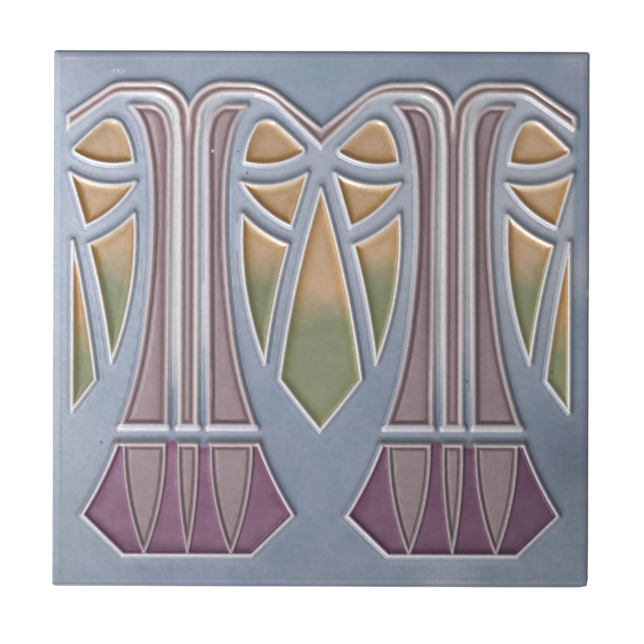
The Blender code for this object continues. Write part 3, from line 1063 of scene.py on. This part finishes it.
def leaning(tree, where, way):
    """A value that grows evenly in one direction across the tile: the dot product with the way."""
    return vector_calc(tree, "DOT_PRODUCT", where, way, "Value")


def spot(tree, where, place, radius, softness=0.35):
    """1 inside a round spot on the face and 0 outside, whatever the height."""
    flat = vector_calc(tree, "MULTIPLY", where, (1.0, 1.0, 0.0))
    away = vector_calc(tree, "DISTANCE", flat, (place[0] * MM, place[1] * MM, 0.0), "Value")
    return step(tree, away, radius * MM * (1.0 + softness), radius * MM * (1.0 - softness))


# %% The blue ground
THIN_COATS = [(76.0, 14.0, 7.5, 0.65), (36.0, -76.0, 7.5, 0.6), (73.0, 77.0, 5.0, 0.4)]
THICK_COATS = [(76.0, -38.0, 13.0, 0.48), (-62.0, 78.0, 12.0, 0.35), (36.0, 77.0, 8.0, 0.3)]
CLOUD_SHARE = 0.55
LEFT_MARGIN_LIGHT_SHARE = 0.25
CANOPY_SHARE = 0.36
CANOPY_LEAN = 4.0
# Painted shade above a raised line and painted light below it.
SHADE_ABOVE_LIGHT_BELOW = ((1.0, 0.45, HALO_DEEP), (-1.0, 0.4, HALO_PALE))
POOL_AND_SHADE_SHARE = 0.7
SHOULDER_SHARE = 0.8


def layered(tree, colour, layers):
    """The colour with (field, share, tint) layers on it: each tints it by its share of its field."""
    for field, share, tint in layers:
        colour = blended(tree, times(tree, field, share), colour, tint)
    return colour


def one_way_each(tree, field, sides):
    """Layers that each take one sign of a field: a side is the sign, the share and the tint."""
    return [(calc(tree, "MAXIMUM", times(tree, field, sign)), share, tint) for sign, share, tint in sides]


def blue_ground(tree, where, distances):
    """Blue glaze, deep beside the lines and cloudy further off.

    It has painted light at the left margin, and is pale under the crest and beside the strips.
    Above a raised line it has painted shade and below it painted light. Above the petals it is
    brown, partly pooled glaze and partly painted shade. Here and there at the edge the brush
    left a thin or a thick coat.
    """
    colour = read_off(tree, distances["line"], GROUND_SCALE)
    patches = mottle(tree, where, 11.0, shift=0.4)
    cloud = blended(tree, patches, GREEN_CLOUD, VIOLET_CLOUD)
    across = coordinate(tree, where, 0)
    layers = [
        (step(tree, distances["line"], 0.9, 2.4), CLOUD_SHARE, cloud),
        # Painted light along the left margin.
        (step(tree, across, -0.045, -0.072), LEFT_MARGIN_LIGHT_SHARE, LEFT_MARGIN_LIGHT),
    ]
    for coats, tint in ((THIN_COATS, HALO_PALE), (THICK_COATS, HALO_DEEP)):
        layers += [(spot(tree, where, (x, y), radius, 0.9), share, tint) for x, y, radius, share in coats]
    canopy_share = plus(tree, times(tree, across, CANOPY_LEAN), CANOPY_SHARE)
    layers.append((distances["canopy"], canopy_share, CANOPY_PALE))
    # Painted shade above each raised line and painted light below it.
    layers += one_way_each(tree, distances["halo"], SHADE_ABOVE_LIGHT_BELOW)
    # Brown above the petals: partly pooled glaze, partly painted shade.
    layers.append((distances["pool"], POOL_AND_SHADE_SHARE, POOL_AND_SHADE_DARK))
    layers.append((distances["shoulder"], SHOULDER_SHARE, SHOULDER_PALE))
    return layered(tree, colour, layers)


# %% The glazes inside the lines
TURN_WANDER = 3.5
TURN_START = -4.0
TURN_END = 10.0
# Painted highlight on the upper leaf walls and painted shade on the lower ones.
LEAF_WALL_LIGHTING = ((1.0, 0.85, OCHRE_HIGHLIGHT), (-1.0, 0.5, OCHRE_SHADE))
PLUM_PALE_SHARE = 0.45
# Share of the painted shade on the plum at the right.
PLUM_SHADE_SHARE = 0.42
FLAME_DEEP_SHARE = 0.45


def inside_glazes(tree, where, distances, colour):
    """Each cell's glaze over the ground: plum, leaves from ochre to green, flames, crest, petals."""
    wander = times(tree, mottle(tree, where, 7.0, shift=0.7), TURN_WANDER)
    turned = step(tree, plus(tree, distances["turn"], wander), TURN_START, TURN_END)
    ochre = read_off(tree, distances["leaf"], OCHRE_SCALE)
    # Painted highlight on each leaf's upper wall and painted shade on its lower wall.
    ochre = layered(tree, ochre, one_way_each(tree, distances["north"], LEAF_WALL_LIGHTING))
    green = read_off(tree, distances["leaf"], GREEN_SCALE)
    # Paler patches in the plum, away from its edges.
    lighter = times(tree, step(tree, distances["plum"], 0.8, 2.6), PLUM_PALE_SHARE)
    lighter = times(tree, mottle(tree, where, 8.0, shift=1.7), lighter)
    plum = read_off(tree, distances["plum"], PLUM_SCALE)
    plum = blended(tree, lighter, plum, PLUM_PALE)
    # Painted shade on the plum towards the right, where the light falls off.
    right_shade = step(tree, coordinate(tree, where, 0), -0.02, 0.06)
    plum = layered(tree, plum, [(right_shade, PLUM_SHADE_SHARE, PLUM_SHADE)])
    deep = times(tree, step(tree, distances["column"], 10.0, 7.0), FLAME_DEEP_SHARE)
    deep = times(tree, deep, step(tree, distances["flame"], 1.0, 1.8))
    flame = read_off(tree, distances["flame"], FLAME_SCALE)
    flame = blended(tree, deep, flame, FLAME_DEEP)
    both = [read_off(tree, distances[name], BAND_SCALE) for name in ("strip", "band")]
    crest = blended(tree, distances["cleft"], *both)
    layers = [
        (distances["plum"], plum, 0.8),
        (distances["leaf"], blended(tree, turned, ochre, green), 0.1),
        (distances["flame"], flame, 0.1),
        (distances["strip"], crest, 0.1),
        (distances["petal"], read_off(tree, distances["petal"], PETAL_SCALE), 0.1),
    ]
    for distance, glaze, softness in layers:
        colour = blended(tree, step(tree, distance, -softness, softness), colour, glaze)
    return colour


# %% The lines, where the glaze is thin: each with its colour, its half width and where it fades
LINES = [
    ("flame", LINE_PINK, 0.25, 0.75), ("petal", LINE_PINK, 0.15, 0.5), ("leaf", LINE_WHITE, 0.2, 0.6),
    ("wall", WALL_WHITE, 0.25, 0.6), ("crest", BAND_PINK, 0.25, 0.7), ("bar", BAR_WHITE, 0.7, 1.15),
    ("top", TOP_CREAM, 0.2, 0.6),
]


def pale_lines(tree, distances, colour):
    """Each raised line is pale: pink along flames, petals and the crest, and almost white elsewhere."""
    for name, pale, core, fade in LINES:
        away = calc(tree, "ABSOLUTE", distances[name])
        colour = blended(tree, step(tree, away, fade, core), colour, pale)
    return colour


# %% Mottling, painted light and shade, and marks
def mottled_and_marked(tree, where, distances, colour):
    """Uneven thickness of every glaze, painted light and shade across the tile, then painted shade
    at the rim, specks, the chip and scuffs.

    The painted light makes every colour darker towards the lower right, where the light falls
    off. On the leaves a second painted gradient runs the other way and evens out the lamp's
    fall-off.
    """
    # Painted light: lighter towards the upper left and darker towards the lower right, and on the leaves a
    # gradient the other way that evens out the lamp's fall-off.
    lighter = leaning(tree, where, PAINTED_LIGHT_WAY)
    leaf_light = plus(tree, leaning(tree, where, LEAF_PAINTED_LIGHT_WAY), LEAF_COAT)
    leaf_light = times(tree, leaf_light, step(tree, distances["leaf"], -0.2, 0.2))
    shade = plus(tree, plus(tree, lighter, leaf_light), COAT)
    fine = mottle(tree, where, 1.4, detail=4.0, shift=1.3)
    broad = mottle(tree, where, 24.0, detail=2.0, shift=2.1)
    for patches, share in ((fine, 0.10), (broad, 0.08)):
        shade = plus(tree, shade, times(tree, patches, share))
    grey = add_node(tree, "ShaderNodeCombineColor", {0: shade, 1: shade, 2: shade})
    colour = blended(tree, 1.0, colour, grey.outputs[0], "MULTIPLY")
    outwards = calc(tree, "ABSOLUTE", coordinate(tree, where, 1))
    outwards = calc(tree, "MAXIMUM", coordinate(tree, where, 0), outwards)
    # Painted shade along the top, right and bottom rims; the left rim, on the side of the light, is left
    # out.
    start, full, share = RIM_SHADE
    marks = [(step(tree, outwards, start, full), share, RIM_SHADE_COLOUR)]
    marks += [(spot(tree, where, (x, y), radius), 0.75, SPECK_COLOUR) for x, y, radius in SPECKS]
    colour = layered(tree, colour, marks)
    colour = blended(tree, spot(tree, where, CHIP, CHIP_RADIUS), colour, CHIP_COLOUR)
    broken = step(tree, mottle(tree, where, 0.8, detail=4.0, shift=3.3), 0.45, 0.8)
    for x, y, half_width, half_length in SCUFFS:
        shrink = (1.0 / half_width, 1.0 / half_length, 0.0)
        stretched = add_node(tree, "ShaderNodeMapping", {"Vector": where, "Scale": shrink})
        near = spot(tree, stretched.outputs[0], (x * shrink[0], y * shrink[1]), 0.8, 0.6)
        colour = blended(tree, times(tree, near, broken), colour, LINE_WHITE)
    return colour


# %% The glaze material
def coloured_glazes():
    """All the glazes of the face as one material."""
    material, tree, shader, where = new_material("coloured_glazes")
    distances = {name: distance_named(tree, name) for name in attributes}
    colour = blue_ground(tree, where, distances)
    colour = inside_glazes(tree, where, distances, colour)
    colour = pale_lines(tree, distances, colour)
    colour = mottled_and_marked(tree, where, distances, colour)
    sheen = times(tree, mottle(tree, where, 5.0, shift=4.1), 0.12)
    peel = mottle(tree, where, 2.6, detail=1.0, shift=5.3)
    grain = times(tree, mottle(tree, where, 0.6, detail=2.0, shift=6.1), 0.25)
    finish(tree, shader, colour, plus(tree, sheen, 0.2), plus(tree, peel, grain), 0.02)
    return material


glaze = coloured_glazes()
print(f"{glaze.name}: {len(glaze.node_tree.nodes)} nodes")

# %% [markdown]
# ## Fired clay
#
# The sides and the back are bare biscuit: buff, matt and slightly sandy, with darker grog in
# it. Some blue glaze has run over the edge and stopped in an uneven line part of the way down.

# %% The clay material
CLAY_PALE = (222, 208, 184)
CLAY_DARK = (196, 176, 146)
GROG = (150, 128, 102)
RUN_BLUE = (150, 158, 173)
RUN_LEVEL = 5.6
RUN_WANDER = 3.0


def fired_clay():
    """Buff earthenware, with the glaze that ran over the edge."""
    material, tree, shader, where = new_material("fired_clay")
    patches = mottle(tree, where, 16.0, detail=5.0, shift=0.3)
    colour = blended(tree, patches, CLAY_DARK, CLAY_PALE)
    grains = step(tree, mottle(tree, where, 0.7, detail=2.0, shift=1.1), 0.75, 0.95)
    colour = blended(tree, times(tree, grains, 0.5), colour, GROG)
    up = calc(tree, "DIVIDE", coordinate(tree, where, 2), MM)
    wander = times(tree, mottle(tree, where, 9.0, detail=3.0, shift=2.2), RUN_WANDER)
    above = calc(tree, "SUBTRACT", plus(tree, up, wander), RUN_LEVEL + RUN_WANDER / 2.0)
    glazed = step(tree, above, -0.15, 0.15)
    deep = blended(tree, step(tree, above, 0.0, 1.2), LINE_WHITE, RUN_BLUE)
    gloss = times(tree, glazed, -0.6)
    sand = mottle(tree, where, 0.5, detail=3.0, shift=3.7)
    sand = plus(tree, sand, times(tree, patches, 2.0))
    sand = times(tree, sand, calc(tree, "SUBTRACT", 1.0, times(tree, glazed, 0.9)))
    finish(tree, shader, blended(tree, glazed, colour, deep), plus(tree, gloss, 0.86), sand, 0.08)
    return material


clay = fired_clay()
mesh.materials.append(glaze)
mesh.materials.append(clay)
print(f"{clay.name}: {len(clay.node_tree.nodes)} nodes")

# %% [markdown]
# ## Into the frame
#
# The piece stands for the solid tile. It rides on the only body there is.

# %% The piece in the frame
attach(tile, "root")
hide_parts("tile")

# %% [markdown]
# ## Floor and light
#
# The photograph has no surroundings: the tile lies on pure white, as on a light table. So the
# floor glows white and takes hardly any light, which also does away with the shadow. A small
# lamp close above the left side grades the flat ground from pale to dark. A larger and more
# distant one, from the foot of the design and a little to the left, picks out the raised lines.
# The sky is dim near the horizon, which darkens the tile's edges, and dark straight above, as
# it is where a camera hangs and keeps its own reflection out of the glaze.

# %% The floor
FLOOR_SIZE = 6.0
floor_mesh = bpy.data.meshes.new("floor")
edge = FLOOR_SIZE / 2.0
floor_corners = [(-edge, -edge, 0.0), (edge, -edge, 0.0), (edge, edge, 0.0), (-edge, edge, 0.0)]
floor_mesh.from_pydata(floor_corners, [], [(0, 1, 2, 3)])
floor = add_object("floor", floor_mesh)
paper, _, paper_shader, _ = new_material("white_table")
paper_shader.inputs["Base Color"].default_value = (0.05, 0.05, 0.05, 1.0)
paper_shader.inputs["Roughness"].default_value = 0.9
paper_shader.inputs["Emission Color"].default_value = (1.0, 1.0, 1.0, 1.0)
paper_shader.inputs["Emission Strength"].default_value = 1.0
floor_mesh.materials.append(paper)


# %% Lights
def soft_light(name, place, size, watts, tint):
    """A square area light that looks at the middle of the tile and doesn't show itself."""
    lamp = bpy.data.lights.new(name, "AREA")
    lamp.shape = "SQUARE"
    lamp.size = size
    lamp.energy = watts
    lamp.color = tint
    holder = add_object(name, lamp)
    holder.location = place
    flat = sqrt(place[0] ** 2 + place[1] ** 2)
    holder.rotation_euler = (atan2(flat, place[2]), 0.0, atan2(place[1], place[0]) + pi / 2.0)
    holder.visible_camera = False
    return holder


soft_light("grading_light", (-0.13, 0.02, 0.17), 0.15, 0.2, (1.0, 1.0, 1.0))
soft_light("relief_light", (-0.40, -0.85, 0.50), 0.50, 9.6, (1.0, 0.985, 0.96))

# %% The sky
SKY = [(0.0, 0.1), (0.35, 0.26), (0.88, 0.28), (1.0, 0.05)]
world = bpy.data.worlds.new("dim_sky")
bpy.context.scene.world = world
world.use_nodes = True
sky_tree = world.node_tree
direction = add_node(sky_tree, "ShaderNodeTexCoord", {}).outputs["Generated"]
rise = coordinate(sky_tree, direction, 2)
sky = ramp(sky_tree, rise, [(place, (level, level, level, 1.0)) for place, level in SKY])
sky_tree.links.new(sky, sky_tree.nodes["Background"].inputs[0])
bpy.context.scene.view_settings.view_transform = "Standard"

# %% [markdown]
# ## Camera
#
# The photograph looks straight down on the tile through a long lens. In its 644 pixels the
# tile's sides are 537 pixels long, its middle lies a little above and left of the picture's,
# and it is turned by a fifth of a degree. The camera gets all of that from three numbers.

# %% The camera
PICTURE = 644
SIDE_PIXELS = 536.9
MIDDLE_PIXEL = (321.0, 318.85)
TURN = radians(0.21)
CAMERA_HEIGHT = 0.75
SENSOR = 36.0
pixel = 2.0 * HALF_SIDE * MM / SIDE_PIXELS
camera_data = bpy.data.cameras.new("camera")
camera_data.sensor_width = SENSOR
camera_data.lens = SENSOR * CAMERA_HEIGHT / (PICTURE * pixel)
camera = add_object("camera", camera_data)
aside = (PICTURE / 2.0 - MIDDLE_PIXEL[0]) * pixel
ahead = (MIDDLE_PIXEL[1] - PICTURE / 2.0) * pixel
camera.location = (aside, ahead, GROUND * MM + CAMERA_HEIGHT)
camera.rotation_euler = (0.0, 0.0, TURN)
bpy.context.scene.camera = camera
print(f"lens {camera_data.lens:.0f} mm, one pixel is {pixel / MM:.3f} mm")
